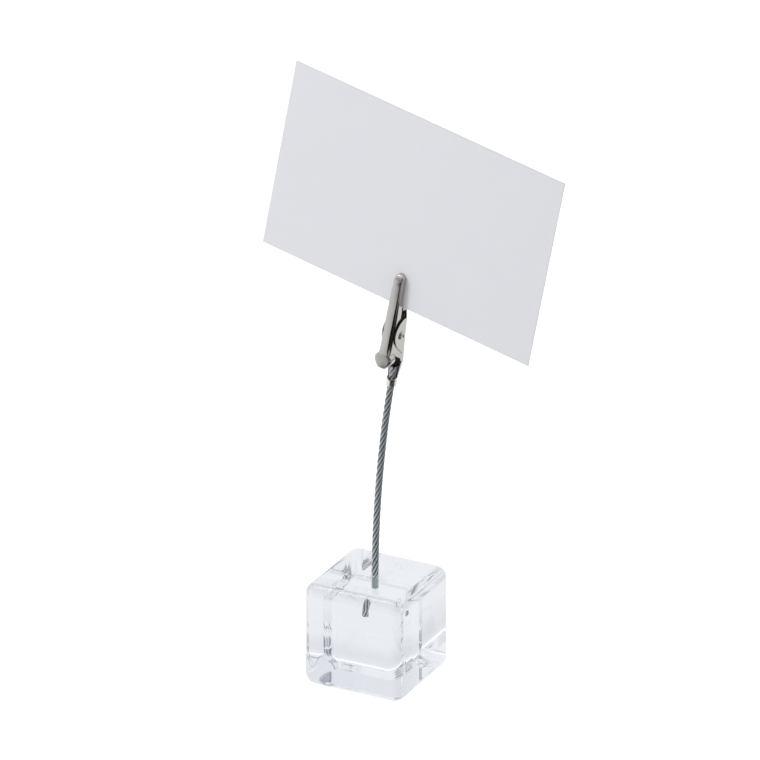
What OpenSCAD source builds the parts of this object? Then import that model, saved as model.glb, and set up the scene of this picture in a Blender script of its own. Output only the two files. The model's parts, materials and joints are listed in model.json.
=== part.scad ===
// Place card holder: a clear block, a short stem of wire rope, a small sprung
// clip crimped onto the top of the stem, and the plain card that the clip holds.
// Units are millimetres. The origin is the centre of the block's underside, +Z is up,
// and the block's front face looks along -Y.

/* [Block] */
// Side of the clear cube
block_side = 30; // [26:0.5:40]
// Radius of the polished roundings on all edges
block_edge_r = 3.5; // [1:0.25:5]
// Diameter of the blind bore in the top face
bore_d = 2.4; // [2.2:0.1:3]
// Depth of the bore's straight wall
bore_depth = 10; // [6:0.5:16]
// Distance of the bore from the middle of the top face, along X
bore_shift_x = 0.3; // [-1:0.1:1]
// Distance of the bore from the middle of the top face, along Y
bore_shift_y = -1.2; // [-2:0.1:2]
// Full angle of the drill point at the bore's bottom
drill_point_deg = 118; // [90:1:140]

/* [Stem] */
// Outside diameter of the wire rope
rope_d = 2; // [1.6:0.1:2.1]
// Gap left under the rope's end in the bore, filled with adhesive
rope_end_gap = 0.4; // [0.1:0.1:1.5]
// Straight length of the rope inside the block before it starts to curve
rope_straight_in_block = 7.7; // [3:0.1:10]
// Radius of the rope's even curve
stem_curve_r = 370; // [250:5:600]
// Lean of the stem from upright where it enters the clip
stem_lean_deg = 9.2; // [5:0.1:12]
// Height of the adhesive's fillet round the rope on the top face
fillet_h = 0.3; // [0.1:0.05:0.6]
// Width of the adhesive's fillet
fillet_w = 0.35; // [0.2:0.05:0.8]

/* [Clip] */
// Thickness of the plated sheet steel
sheet_t = 0.4; // [0.3:0.05:0.5]
// From the pivot to the tips of the jaws
nose_len = 18.4; // [16:0.2:24]
// From the pivot to the mouth of the crimp
tail_len = 16.7; // [15.5:0.1:22]
// From the pivot forward to the plane in which the jaws meet
bite_offset = 0.9; // [0.6:0.1:1.2]
// From the pivot back to the middle of the crimped rope
crimp_offset = 2.5; // [2.2:0.1:3]
// Length of the folded crimp lobes
crimp_len = 2.6; // [2.4:0.2:4.4]
// Outside radius of the crimp's corners
crimp_corner_r = 1.2; // [0.8:0.05:1.3]
// Place of the seam between the two lobes, to the right of the middle
crimp_seam_x = 0.6; // [0:0.1:0.8]
// Width of the slit between the two folded lobes
crimp_slit_w = 0.35; // [0.2:0.05:0.6]
// Length of rope that stands out above the crimp
rope_tip_len = 3.2; // [1:0.2:4]
// Outside width of the lower jaw at the pivot ears
ear_w = 4.4; // [4.2:0.1:5.4]
// Outside width of both jaws near their tips
nose_w = 2.9; // [2.4:0.1:3.4]
// Turn of the clip about the stem
clip_twist_deg = -5.7; // [-30:0.1:30]
// Widest place of the thumb lever
lever_w = 5.3; // [4.6:0.1:5.6]
// From the pivot to the end of the thumb lever
lever_len = 8.8; // [8:0.1:10]
// How far the lever can be pressed before it meets the lower jaw
jaw_open_deg = 20; // [14:1:22]

/* [Pivot and spring] */
// Diameter of the rivet's shank
rivet_d = 1.5; // [1.2:0.1:1.8]
// Diameter of the rivet's head
rivet_head_d = 2.6; // [2.2:0.1:3]
// Height of the rivet's head
rivet_head_h = 0.45; // [0.3:0.05:0.7]
// Diameter of the dimple left by the rivet setting tool
rivet_dimple_d = 0.9; // [0.4:0.1:1.1]
// Wire diameter of the torsion spring
spring_wire_d = 0.4; // [0.3:0.05:0.45]
// Turns of the torsion spring
spring_turns = 2.5; // [1.5:1:2.5]
// Length of each spring leg
spring_leg = 4.4; // [3:0.2:5]

/* [Card] */
// Width of the card
card_w = 85; // [60:1:100]
// Height of the card
card_h = 55; // [40:1:70]
// Thickness of the card
card_t = 0.3; // [0.2:0.05:0.5]
// How deep the card sits between the jaws
card_grip = 9.5; // [6:0.5:11]
// Place of the clip along the card's lower edge, from its middle
card_shift = -1; // [-20:0.2:20]
// Turn of the card in its own plane, from square to the clip
card_turn_deg = 1.7; // [-6:0.1:6]

/* [Fits] */
// Play between sheet parts that slide on each other
sheet_play = 0.05; // [0.03:0.01:0.1]
// Gap between the pressed lever, or the inner ears, and the lower jaw's web
rest_gap = 0.3; // [0.2:0.05:0.5]
// Radial play of the jaws on the rivet's shank
pivot_play = 0.03; // [0.02:0.01:0.08]
// Gap between the card and each jaw
card_play = 0.02; // [0.01:0.01:0.05]
// Radial play between the rope and the crimp
crimp_play = 0.02; // [0.01:0.01:0.05]
// Gap between the rope and its adhesive
glue_play = 0.02; // [0.02:0.01:0.03]

/* [Hidden] */
// Extra length of every cutting tool
overrun = 1;
// Smoothness of the round pieces
$fn = 64;

// Rope in the block
rope_r = rope_d / 2;
rope_foot_z = block_side - bore_depth + rope_end_gap;
curve_start_z = rope_foot_z + rope_straight_in_block;
drill_point_h = bore_d / 2 / tan(drill_point_deg / 2);

// Where the curved stem meets the mouth of the crimp
mouth = [
    bore_shift_x + stem_curve_r * (1 - cos(stem_lean_deg)),
    bore_shift_y,
    curve_start_z + stem_curve_r * sin(stem_lean_deg)
];

// Where the rivet's middle lies, so that the crimp takes the stem's end along its own line
clip_pivot = mouth + [
    crimp_offset * sin(clip_twist_deg) * cos(stem_lean_deg) + tail_len * sin(stem_lean_deg),
    -crimp_offset * cos(clip_twist_deg),
    -crimp_offset * sin(clip_twist_deg) * sin(stem_lean_deg) + tail_len * cos(stem_lean_deg)
];

// Crimp round the rope
crimp_r = rope_r + crimp_play + sheet_t;
crimp_back = crimp_offset + crimp_r;
crimp_top_z = -tail_len + crimp_len;

// Faces of the two jaws on either side of the card
bite_back_y = -bite_offset + card_t / 2 + card_play;
bite_front_y = -bite_offset - card_t / 2 - card_play;
ear_half_w = ear_w / 2;
nose_half_w = nose_w / 2;
inner_half_w = ear_half_w - sheet_t - sheet_play;
nose_round = 1.3 * nose_half_w;
web_at_pivot = 0.55 * ear_w;
ear_r = 0.96 * ear_w;
ear_middle = [0.22 * ear_w, 0.2 * ear_w];
inner_ear_r = web_at_pivot - sheet_t - rest_gap;
jaw_rise = 0.5 * nose_w;

// Lower jaw from crimp to nose: place, half width, back of the web, corner radius
lower_rows = [
    [crimp_top_z, crimp_r, crimp_back, crimp_corner_r],
    [-0.684 * tail_len, 0.76 * ear_half_w, crimp_back, 0.35 * ear_half_w],
    [-0.518 * tail_len, 0.93 * ear_half_w, 0.95 * crimp_back, 0.3 * ear_half_w],
    [-0.29 * tail_len, ear_half_w, 0.77 * crimp_back, 0.3 * ear_half_w],
    [0, ear_half_w, web_at_pivot, 0.3 * ear_half_w],
    [0.2 * nose_len, ear_half_w, 0.80 * web_at_pivot, 0.32 * ear_half_w],
    [0.28 * nose_len, 0.985 * ear_half_w, 0.71 * web_at_pivot, 0.33 * ear_half_w],
    [0.42 * nose_len, 0.82 * ear_half_w, 0.52 * web_at_pivot, 0.35 * ear_half_w],
    [0.7 * nose_len, 1.05 * nose_half_w, 0.22 * web_at_pivot, 0.6 * nose_half_w],
    [nose_len - nose_round, nose_half_w, bite_back_y + 0.72 * nose_half_w, 0.7 * nose_half_w]
];

// Upper jaw from the lever's end to the nose, in the same columns, with the back to the front
upper_rows = [
    [-lever_len, 0.24 * lever_w, 1.09 * ear_w, 0.27 * ear_half_w],
    [-0.88 * lever_len, 0.40 * lever_w, 1.055 * ear_w, 0.27 * ear_half_w],
    [-0.72 * lever_len, 0.50 * lever_w, 1.014 * ear_w, 0.27 * ear_half_w],
    [-0.63 * lever_len, 0.45 * lever_w, 0.991 * ear_w, 0.28 * ear_half_w],
    [-0.55 * lever_len, inner_half_w, 0.972 * ear_w, 0.30 * ear_half_w],
    [-0.36 * lever_len, inner_half_w, 0.945 * ear_w, 0.43 * ear_half_w],
    [0, inner_half_w, 0.91 * ear_w, 0.46 * ear_half_w],
    [0.3 * nose_len, 0.97 * inner_half_w, 0.85 * ear_w, 0.4 * ear_half_w],
    [0.6 * nose_len, 1.06 * nose_half_w, 0.775 * ear_w, 0.42 * nose_half_w],
    [0.82 * nose_len, nose_half_w, 0.69 * ear_w, 0.36 * nose_half_w],
    [nose_len - nose_round, 0.98 * nose_half_w, 0.65 * ear_w, 0.36 * nose_half_w]
];

// One value of a row table at a place, on a smooth curve through the rows that turns only at rows
function row_slope(rows, i, col) =
    let (
        a = max(i - 1, 0),
        b = min(i + 1, len(rows) - 1),
        turns = i > a && i < b && (rows[i][col] - rows[a][col]) * (rows[b][col] - rows[i][col]) <= 0
    )
    turns ? 0 : (rows[b][col] - rows[a][col]) / (rows[b][0] - rows[a][0]);
function row_index(rows, z, i = 0) =
    i >= len(rows) - 2 || z < rows[i + 1][0] ? i : row_index(rows, z, i + 1);
function row_value(rows, z, col) =
    let (
        i = row_index(rows, z),
        span = rows[i + 1][0] - rows[i][0],
        s = (z - rows[i][0]) / span,
        from = rows[i][col],
        to = rows[i + 1][col]
    )
    from * (1 + 2 * s) * (1 - s) * (1 - s) + to * s * s * (3 - 2 * s)
        + row_slope(rows, i, col) * span * s * (1 - s) * (1 - s)
        - row_slope(rows, i + 1, col) * span * s * s * (1 - s);

// Outline of a channel at one place: down one wall, round the back and up the other wall
corner_steps = 6;
// Least flat left beside a rounded corner
corner_flat = sheet_t / 8;
function channel_ring(z, half_w, back, corner, edge, side) =
    let (
        bite = side > 0 ? bite_back_y : -bite_front_y,
        r = min(corner, half_w - corner_flat, back - bite - corner_flat)
    )
    concat(
        [[-half_w, side * edge, z]],
        [for (i = [0:corner_steps])
            let (a = 90 * i / corner_steps)
            [-half_w + r * (1 - cos(a)), side * (back - r + r * sin(a)), z]],
        [for (i = [corner_steps:-1:0])
            let (a = 90 * i / corner_steps)
            [half_w - r * (1 - cos(a)), side * (back - r + r * sin(a)), z]],
        [[half_w, side * edge, z]]
    );

// Closed skin over a stack of rings that all have the same number of points
module loft(rings, flip = false) {
    n = len(rings[0]);
    last = len(rings) - 1;
    side_faces = [
        for (k = [0:last - 1], i = [0:n - 1])
            let (j = (i + 1) % n)
            each [
                [k * n + i, (k + 1) * n + i, (k + 1) * n + j],
                [k * n + i, (k + 1) * n + j, k * n + j]
            ]
    ];
    end_faces = [[for (i = [0:n - 1]) i], [for (i = [n - 1:-1:0]) last * n + i]];
    faces = concat(side_faces, end_faces);
    turned = [for (f = faces) [for (i = [len(f) - 1:-1:0]) f[i]]];
    polyhedron(points = [for (ring = rings) each ring], faces = flip ? turned : faces);
}

// Heights of a jaw's rings: every row, and even steps between the rows
ring_step = 0.25 * ear_w;
function ring_heights(rows) = concat(
    [for (i = [0:len(rows) - 2])
        let (span = rows[i + 1][0] - rows[i][0], count = ceil(span / ring_step))
        for (k = [0:count - 1]) rows[i][0] + span * k / count],
    [rows[len(rows) - 1][0]]
);

// Solid that fills a jaw, from its first row to a rounded nose; inset gives the inside of the sheet
nose_steps = 6;
nose_last_deg = 76;
module jaw_filling(rows, side, edge, inset, start_z) {
    body_end = rows[len(rows) - 1][0];
    nose_r = nose_round - inset;
    body = [
        for (z = ring_heights(rows))
            channel_ring(
                z == rows[0][0] ? start_z : z,
                row_value(rows, z, 1) - inset,
                row_value(rows, z, 2) - inset,
                max(row_value(rows, z, 3) - inset, corner_flat),
                edge, side
            )
    ];
    end_half_w = row_value(rows, body_end, 1) - inset;
    end_back = row_value(rows, body_end, 2) - inset;
    end_corner = row_value(rows, body_end, 3) - inset;
    bite = side > 0 ? bite_back_y : -bite_front_y;
    nose = [
        for (k = [1:nose_steps])
            let (a = nose_last_deg * k / nose_steps, share = 0.25 + 0.75 * cos(a))
            channel_ring(
                body_end + nose_r * sin(a) / sin(nose_last_deg),
                end_half_w * share,
                bite + (end_back - bite) * share,
                end_corner * share,
                edge, side
            )
    ];
    loft(concat(body, nose), side > 0);
}

// Plate across the clip with an outline given as [distance back, height] points
module across_clip(outline, width) {
    rotate([90, 0, 90])
        linear_extrude(width, center = true)
            polygon(outline);
}

// Rod across the clip at a distance back from the pivot and a height above it
module rod_across(r, width, back = 0, up = 0) {
    translate([0, back, up])
        rotate([0, 90, 0])
            cylinder(r = r, h = width, center = true);
}

// Puts the clip's own frame in place: pivot at the origin, nose up, lever to the front
module in_clip() {
    translate(clip_pivot)
        rotate([0, stem_lean_deg, 0])
            rotate([0, 0, clip_twist_deg])
                children();
}

// Section of a rounded block at one height: a square whose corners have radius r
block_corner_steps = 8;
function rounded_square_ring(reach, r, z) = [
    for (quarter = [0:3], i = [0:block_corner_steps])
        let (a = 90 * (quarter + i / block_corner_steps))
        [
            (quarter == 0 || quarter == 3 ? reach : -reach) + r * cos(a),
            (quarter < 2 ? reach : -reach) + r * sin(a),
            z
        ]
];

// Cube with every edge and corner rounded, standing on its underside
module rounded_cube(side, r) {
    reach = side / 2 - r;
    half_step = 0.5;
    lower = [
        for (k = [0:block_corner_steps])
            let (a = 90 * (k + half_step) / (block_corner_steps + half_step))
            [r * sin(a), k == 0 ? 0 : r * (1 - cos(a))]
    ];
    loft(concat(
        [for (row = lower) rounded_square_ring(reach, row[0], row[1])],
        [for (k = [block_corner_steps:-1:0]) rounded_square_ring(reach, lower[k][0], side - lower[k][1])]
    ));
}

// Straight foot of the rope in the block, and its even curve up to its end above the crimp.
// The curve runs on through the crimp, where it leaves the crimp's line by less than its play.
module rope_run(r) {
    full_deg = stem_lean_deg + (crimp_len + rope_tip_len) / stem_curve_r * 180 / PI;
    translate([bore_shift_x, bore_shift_y, rope_foot_z])
        cylinder(r = r, h = rope_straight_in_block);
    translate([bore_shift_x + stem_curve_r, bore_shift_y, curve_start_z])
        rotate([90, 0, 180])
            rotate_extrude(angle = full_deg, $fn = 720)
                translate([stem_curve_r, 0])
                    circle(r = r, $fn = 64);
}

// Clear block with its blind bore
module base_block() {
    color([0.93, 0.96, 1, 0.35])
        difference() {
            rounded_cube(block_side, block_edge_r);
            translate([bore_shift_x, bore_shift_y, block_side - bore_depth]) {
                cylinder(d = bore_d, h = bore_depth + overrun);
                translate([0, 0, -drill_point_h])
                    cylinder(d1 = 0, d2 = bore_d, h = drill_point_h);
            }
        }
}

// Clear adhesive that fills the bore round the rope and rises in a fillet on the top face
module bore_adhesive() {
    color([0.9, 0.94, 1, 0.5])
        difference() {
            translate([bore_shift_x, bore_shift_y, block_side - bore_depth]) {
                cylinder(d = bore_d, h = bore_depth);
                translate([0, 0, -drill_point_h])
                    cylinder(d1 = 0, d2 = bore_d, h = drill_point_h);
                translate([0, 0, bore_depth])
                    cylinder(r1 = rope_r + fillet_w, r2 = rope_r + 2 * glue_play, h = fillet_h);
            }
            translate([bore_shift_x, bore_shift_y, rope_foot_z])
                cylinder(r = rope_r + glue_play, h = bore_depth + fillet_h + overrun);
        }
}

// Wire rope, from its foot in the block to its end above the crimp
module rope_stem() {
    color([0.5, 0.53, 0.55])
        rope_run(rope_r);
}

// Lower jaw: one piece of sheet with the crimp at its tail, the pivot ears and the rear jaw
module lower_jaw() {
    front_reach = ear_r;
    throat_top_z = 0.42 * nose_len;
    throat_low_z = 0.27 * nose_len;
    throat_y = 0.45 * web_at_pivot;
    far_back = crimp_back + overrun;
    wall_outline = [
        [far_back, crimp_top_z],
        [crimp_offset, crimp_top_z],
        [0.95 * crimp_offset, -0.518 * tail_len],
        [0.7 * crimp_offset, -0.357 * tail_len],
        [-0.3 * ear_w, -0.186 * tail_len],
        [-0.6 * ear_w, -0.07 * tail_len],
        [-0.6 * ear_w, 0],
        [throat_y, throat_low_z],
        [throat_y, throat_top_z - 0.1 * jaw_rise],
        [bite_back_y, throat_top_z],
        [bite_back_y, nose_len + overrun],
        [far_back, nose_len + overrun]
    ];
    color([0.74, 0.74, 0.73])
        in_clip() {
            difference() {
                intersection() {
                    difference() {
                        jaw_filling(lower_rows, 1, -front_reach, 0, crimp_top_z);
                        jaw_filling(lower_rows, 1, -front_reach - overrun, sheet_t, crimp_top_z - overrun);
                    }
                    union() {
                        across_clip(wall_outline, ear_w + 2 * overrun);
                        rod_across(ear_r, ear_w + 2 * overrun, ear_middle[0], ear_middle[1]);
                    }
                }
                rod_across(rivet_d / 2 + pivot_play, ear_w + 2 * overrun);
            }
            crimp_lobes();
        }
}

// Square section of the crimp with bent corners; inset gives the inside of the sheet
module crimp_square(inset) {
    offset(r = crimp_corner_r - inset)
        square(2 * (crimp_r - crimp_corner_r), center = true);
}

// Part of the tail that is folded round the rope: two lobes that meet in a slit at the front,
// with their upper edges falling towards it
module crimp_lobes() {
    slit_left = crimp_seam_x - crimp_slit_w / 2;
    slit_right = crimp_seam_x + crimp_slit_w / 2;
    left_drop = 0.4 * crimp_len;
    right_drop = 0.15 * crimp_len;
    translate([0, crimp_offset, -tail_len])
        difference() {
            linear_extrude(crimp_len)
                crimp_square(0);
            translate([0, 0, -overrun])
                linear_extrude(crimp_len + 2 * overrun)
                    crimp_square(sheet_t);
            translate([0, -crimp_r - overrun, 0])
                rotate([-90, 0, 0])
                    linear_extrude(crimp_r + overrun)
                        polygon([
                            [slit_left, overrun],
                            [slit_right, overrun],
                            [slit_right, right_drop - crimp_len],
                            [crimp_r, -crimp_len],
                            [crimp_r, -crimp_len - overrun],
                            [-crimp_r, -crimp_len - overrun],
                            [-crimp_r, -crimp_len],
                            [slit_left, left_drop - crimp_len]
                        ]);
        }
}

// Upper jaw: a tapered half-round channel with a thumb lever and two inner ears
module upper_jaw() {
    back_reach = web_at_pivot;
    far_front = -ear_w - overrun;
    lever_wall_y = -0.5 * ear_w;
    lever_back_z = -0.5 * lever_len;
    web_inside_y = row_value(lower_rows, lever_back_z, 2) - sheet_t;
    lever_back_y = (web_inside_y - rest_gap + lever_back_z * sin(jaw_open_deg)) / cos(jaw_open_deg);
    wall_outline = [
        [far_front, nose_len + overrun],
        [bite_front_y, nose_len + overrun],
        [bite_front_y, 0.26 * nose_len],
        [0.5 * bite_front_y, 0.19 * nose_len],
        [0.4 * inner_ear_r, 0.12 * nose_len],
        [0.4 * inner_ear_r, -0.2 * lever_len],
        [lever_back_y, -0.36 * lever_len],
        [lever_back_y, lever_back_z],
        [lever_wall_y, -0.56 * lever_len],
        [lever_wall_y, -0.95 * lever_len],
        [1.15 * lever_wall_y, -lever_len],
        [1.15 * lever_wall_y, -lever_len - overrun],
        [far_front, -lever_len - overrun]
    ];
    color([0.78, 0.78, 0.77])
        in_clip()
            difference() {
                intersection() {
                    difference() {
                        jaw_filling(upper_rows, -1, -back_reach, 0, -lever_len);
                        jaw_filling(upper_rows, -1, -back_reach - overrun, sheet_t, -lever_len - overrun);
                    }
                    union() {
                        across_clip(wall_outline, lever_w + 2 * overrun);
                        rod_across(inner_ear_r, 2 * inner_half_w + overrun);
                    }
                }
                rod_across(rivet_d / 2 + pivot_play, lever_w + 2 * overrun);
            }
}

// Rivet that carries the upper jaw: shank and two domed heads with a dimple
module pivot_rivet() {
    dome_r = (pow(rivet_head_d / 2, 2) + pow(rivet_head_h, 2)) / (2 * rivet_head_h);
    color([0.7, 0.7, 0.7])
        in_clip() {
            rod_across(rivet_d / 2, ear_w);
            for (side = [0, 180])
                rotate([0, side, 0])
                    translate([ear_half_w, 0, 0])
                        rotate([0, 90, 0])
                            difference() {
                                intersection() {
                                    translate([0, 0, rivet_head_h - dome_r]) sphere(r = dome_r);
                                    cylinder(d = rivet_head_d + overrun, h = rivet_head_h);
                                }
                                translate([0, 0, rivet_head_h / 2])
                                    cylinder(d = rivet_dimple_d, h = rivet_head_h);
                            }
        }
}

// Torsion spring: middle line of its wire, from the leg on the lower jaw to the leg on the lever
spring_r = rivet_d / 2 + spring_wire_d;
spring_pitch = 2.12 * spring_wire_d;
spring_rings_per_turn = 8;
spring_rest_gap = sheet_play;
leg_top_z = spring_wire_d - spring_leg;
leg_back_y = row_value(lower_rows, leg_top_z, 2) - sheet_t - spring_wire_d / 2 - spring_rest_gap;
leg_front_y = -row_value(upper_rows, leg_top_z, 2) + sheet_t + spring_wire_d / 2 + spring_rest_gap;
spring_half_w = spring_turns * spring_pitch / 2;
spring_coil = [
    for (i = [0:spring_turns * spring_rings_per_turn])
        let (a = 360 * i / spring_rings_per_turn)
        [-spring_half_w + spring_pitch * a / 360, spring_r * cos(a), spring_r * sin(a)]
];
spring_path = concat(
    [
        [-spring_half_w, leg_back_y, -spring_leg],
        [-spring_half_w, leg_back_y, leg_top_z],
        [-spring_half_w, (leg_back_y + spring_r) / 2, -spring_leg / 2]
    ],
    spring_coil,
    [
        [spring_half_w, (leg_front_y - spring_r) / 2, -spring_leg / 2],
        [spring_half_w, leg_front_y, leg_top_z],
        [spring_half_w, leg_front_y, -spring_leg]
    ]
);

function unit(v) = v / norm(v);
function path_dir(p, i) = unit(p[min(i + 1, len(p) - 1)] - p[max(i - 1, 0)]);
function wire_ring(p, i, r, sides) =
    let (
        along = path_dir(p, i),
        up = unit(cross(along, [1, 0, 0])),
        across = cross(along, up)
    )
    [for (k = [0:sides - 1])
        p[i] + r * cos(360 * k / sides) * up + r * sin(360 * k / sides) * across];

// Least free distance between one turn of the spring and the next
spring_gap = min([
    for (i = [0:len(spring_coil) - 1], j = [i + spring_rings_per_turn / 2:len(spring_coil) - 1])
        norm(spring_coil[i] - spring_coil[j]) - spring_wire_d
]);
echo(spring_gap = spring_gap);

module torsion_spring() {
    color([0.45, 0.45, 0.45])
        in_clip()
            loft([for (i = [0:len(spring_path) - 1]) wire_ring(spring_path, i, spring_wire_d / 2, 6)]);
}

// Plain card, held by its lower edge between the jaws
module place_card() {
    color([0.94, 0.94, 0.95])
        in_clip()
            translate([card_shift, -bite_offset, nose_len - card_grip])
                rotate([0, card_turn_deg, 0])
                    translate([-card_w / 2, -card_t / 2, 0])
                        cube([card_w, card_t, card_h]);
}

base_block();
bore_adhesive();
rope_stem();
lower_jaw();
upper_jaw();
pivot_rivet();
torsion_spring();
place_card();
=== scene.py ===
import json
import math

import bpy
import numpy as np
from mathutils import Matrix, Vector


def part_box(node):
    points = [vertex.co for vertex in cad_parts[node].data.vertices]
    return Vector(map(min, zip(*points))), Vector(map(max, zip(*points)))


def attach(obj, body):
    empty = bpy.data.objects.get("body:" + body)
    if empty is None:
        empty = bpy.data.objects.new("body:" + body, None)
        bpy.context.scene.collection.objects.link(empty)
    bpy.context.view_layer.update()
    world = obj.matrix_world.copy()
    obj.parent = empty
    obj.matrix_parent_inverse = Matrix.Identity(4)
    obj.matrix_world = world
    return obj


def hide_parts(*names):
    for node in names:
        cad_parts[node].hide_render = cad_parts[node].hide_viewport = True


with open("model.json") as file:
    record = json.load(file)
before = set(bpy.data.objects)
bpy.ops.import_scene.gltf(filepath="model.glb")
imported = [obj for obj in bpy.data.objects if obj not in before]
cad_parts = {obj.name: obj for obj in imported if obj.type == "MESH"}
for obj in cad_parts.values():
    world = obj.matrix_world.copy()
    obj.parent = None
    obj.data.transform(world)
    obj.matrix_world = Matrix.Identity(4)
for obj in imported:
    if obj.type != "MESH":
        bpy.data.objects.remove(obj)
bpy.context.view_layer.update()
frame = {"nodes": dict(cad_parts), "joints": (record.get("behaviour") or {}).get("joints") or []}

# Camera
# A long lens, to the right of the holder's front and looking down on it, as a product
# photographer stands. It aims at a point on the holder's middle line.
mm = 0.001
view_azimuth = math.radians(27.2)
view_elevation = math.radians(24.2)
view_distance = 2500 * mm
aim_sideways = 1.05 * mm
aim_height = 87.1 * mm
photo_width = 760
pixels_per_metre = 3757
nearest_seen = 100 * mm
farthest_seen = 20000 * mm
towards_camera = Vector((
    math.sin(view_azimuth) * math.cos(view_elevation),
    -math.cos(view_azimuth) * math.cos(view_elevation),
    math.sin(view_elevation),
))
aim = Vector((
    aim_sideways * math.cos(view_azimuth),
    aim_sideways * math.sin(view_azimuth),
    aim_height,
))
camera_data = bpy.data.cameras.new("camera")
camera = bpy.data.objects.new("camera", camera_data)
bpy.context.scene.collection.objects.link(camera)
camera.location = aim + view_distance * towards_camera
camera.rotation_euler = towards_camera.to_track_quat("Z", "Y").to_euler()
camera_data.lens = camera_data.sensor_width * pixels_per_metre * view_distance / photo_width
camera_data.clip_start = nearest_seen
camera_data.clip_end = farthest_seen
bpy.context.scene.camera = camera
bpy.context.scene.view_settings.view_transform = "Standard"

# Light that total reflection traps in the clear block needs many bounces to come out again
light_bounces = 80
cycles = bpy.context.scene.cycles
cycles.max_bounces = cycles.transmission_bounces = cycles.glossy_bounces = light_bounces


# Helpers
# Colours, shader nodes, smooth meshes and rings of faces, made the same way for every piece.
def linear(hex_colour):
    """The linear colour, with alpha 1, of an sRGB hex colour."""
    srgb = np.array([int(hex_colour[i:i + 2], 16) for i in (1, 3, 5)]) / 255
    colour = np.where(srgb <= 0.04045, srgb / 12.92, ((srgb + 0.055) / 1.055) ** 2.4)
    return (*colour.tolist(), 1.0)


def add_node(tree, kind, inputs=None, **settings):
    """Adds a shader node. Settings are its attributes; inputs hold a value or the socket to link from."""
    node = tree.nodes.new("ShaderNode" + kind)
    for name, value in settings.items():
        setattr(node, name, value)
    for name, value in (inputs or {}).items():
        if isinstance(value, bpy.types.NodeSocket):
            tree.links.new(value, node.inputs[name])
        else:
            node.inputs[name].default_value = value
    return node


def new_material(name):
    """An empty node material and its output node."""
    material = bpy.data.materials.new(name)
    material.use_nodes = True
    material.node_tree.nodes.clear()
    return material, add_node(material.node_tree, "OutputMaterial")


def mesh_object(name, points, faces, materials=()):
    """A smooth mesh object at the origin, with its place in its points."""
    mesh = bpy.data.meshes.new(name)
    mesh.from_pydata(points.reshape(-1, 3).tolist(), [], [list(face) for face in faces])
    mesh.polygons.foreach_set("use_smooth", np.ones(len(mesh.polygons), dtype=bool))
    for material in materials:
        mesh.materials.append(material)
    piece = bpy.data.objects.new(name, mesh)
    bpy.context.scene.collection.objects.link(piece)
    return piece


def unit(v):
    """Vectors made one unit long."""
    return v / np.linalg.norm(v, axis=-1, keepdims=True)


def ring_faces(ring_count, sides):
    """Point numbers of a stack of closed rings, and the quads between one ring and the next."""
    cell = np.arange(ring_count * sides).reshape(ring_count, sides)
    after = np.roll(cell, -1, axis=1)
    return cell, np.stack([cell[:-1], after[:-1], after[1:], cell[1:]], axis=-1).reshape(-1, 4)


def capped_faces(ring_count, sides):
    """Faces of a closed body made of rings: the quads between them and a cap at each end."""
    cell, quads = ring_faces(ring_count, sides)
    return [*quads.tolist(), cell[0, ::-1].tolist(), cell[-1].tolist()]


def by_ray(tree, otherwise, metal, glass, straight):
    """What each kind of ray sees: mirrored by metal, bent by glass, straight from the camera, or else."""
    rays = add_node(tree, "LightPath")
    seen = otherwise
    for kind, view in (("Is Glossy Ray", metal), ("Is Transmission Ray", glass), ("Is Camera Ray", straight)):
        seen = add_node(tree, "MixShader", {0: rays.outputs[kind], 1: seen.outputs[0], 2: view.outputs[0]})
    return seen.outputs[0]


# Stage
# A white table that the camera sees as plain white, with the holder's soft shadow on it, in a
# white room. Metal and glass see tones of their own there, set so that the render's tones come
# near the photograph's: they stand in for the studio round the holder, which it doesn't show.
table_half = 3.0
table_drop = 0.05 * mm
table_glow = 0.62
room_glow = 0.54
shade_reach = 40 * mm
plain_white = (1, 1, 1, 1)
front_right_way = (0.8, -0.6, 0)
photographer_way = (0.5, -0.86, 0)
far_right_way = (1.0, -0.45, 0)
# Metres to the front right, and how bright metal sees the table there
metal_stops = (
    (0, 1), (0.01, 1), (0.025, 0.85), (0.05, 0.75),
    (0.085, 0), (0.3, 0), (0.45, 0.6), (1, 0.6),
)
# Way out from the middle as a share of shade_reach, and how bright glass sees the table there
# The dip just outside the block is a painted shadow round it, seen through the glass
shade_stops = ((0, 1), (0.36, 1), (0.385, 0.8), (0.7, 0.99), (1, 1))

table_white, table_out = new_material("white_table")
tree = table_white.node_tree
place = add_node(tree, "TexCoord").outputs["Object"]
front_right = add_node(tree, "VectorMath", {0: place, 1: front_right_way}, operation="DOT_PRODUCT")
metal_tone = add_node(tree, "ValToRGB", {"Fac": front_right.outputs["Value"]})
far_right = add_node(tree, "VectorMath", {0: place, 1: far_right_way}, operation="DOT_PRODUCT")
far_tone = add_node(tree, "MapRange", {"Value": far_right.outputs["Value"], "From Min": 0.195,
                                       "From Max": 0.25, "To Min": 0.0, "To Max": 0.4})
seen_in_metal = add_node(tree, "Math", {0: metal_tone.outputs["Color"], 1: far_tone.outputs["Result"]},
                         operation="MAXIMUM")
in_metal = add_node(tree, "Emission", {"Color": plain_white, "Strength": seen_in_metal.outputs[0]})
place_parts = add_node(tree, "SeparateXYZ", {0: place})
out_x, out_y = (add_node(tree, "Math", {0: place_parts.outputs[way]}, operation="ABSOLUTE") for way in "XY")
way_out = add_node(tree, "Math", {0: out_x.outputs[0], 1: out_y.outputs[0]}, operation="MAXIMUM")
way_out_share = add_node(tree, "MapRange", {"Value": way_out.outputs[0], "From Max": shade_reach})
shade = add_node(tree, "ValToRGB", {"Fac": way_out_share.outputs["Result"]})
in_glass = add_node(tree, "Emission", {"Color": shade.outputs["Color"], "Strength": 0.965})
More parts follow.
